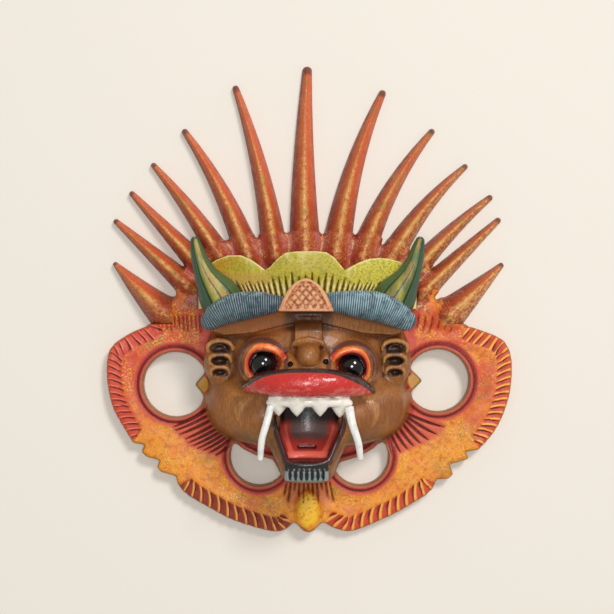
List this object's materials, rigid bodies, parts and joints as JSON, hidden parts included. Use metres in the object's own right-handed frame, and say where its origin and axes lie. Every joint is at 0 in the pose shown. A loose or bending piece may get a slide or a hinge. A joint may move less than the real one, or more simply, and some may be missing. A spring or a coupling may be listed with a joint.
{
  "type": "barong mask",
  "caption": "Carved and painted wooden demon mask with a sunburst of rays, lobed crown, horns, brow roll, bared teeth, hanging tusks and a pierced scalloped collar.",
  "frame": {"origin": "Middle of the underside: the mask lies on its flat back on the plane Z = 0, with its box centred in X and Y.", "axes": "+Y runs from the chin to the middle ray, +Z comes out of the face, +X is to the right of someone looking at the face."},
  "size_m": [0.302, 0.348, 0.0974],
  "materials": {
    "painted_wood": "light carving wood, brushed thin orange, red, olive, green, slate blue and gold paint, brown stained face, soft gloss varnish",
    "white_paint": "wood painted off-white with a thin blue-black line, glossy"
  },
  "bodies": {
    "root": {"mask": "painted_wood", "tusk_left": "white_paint", "tusk_right": "white_paint"}
  },
  "joints": []
}
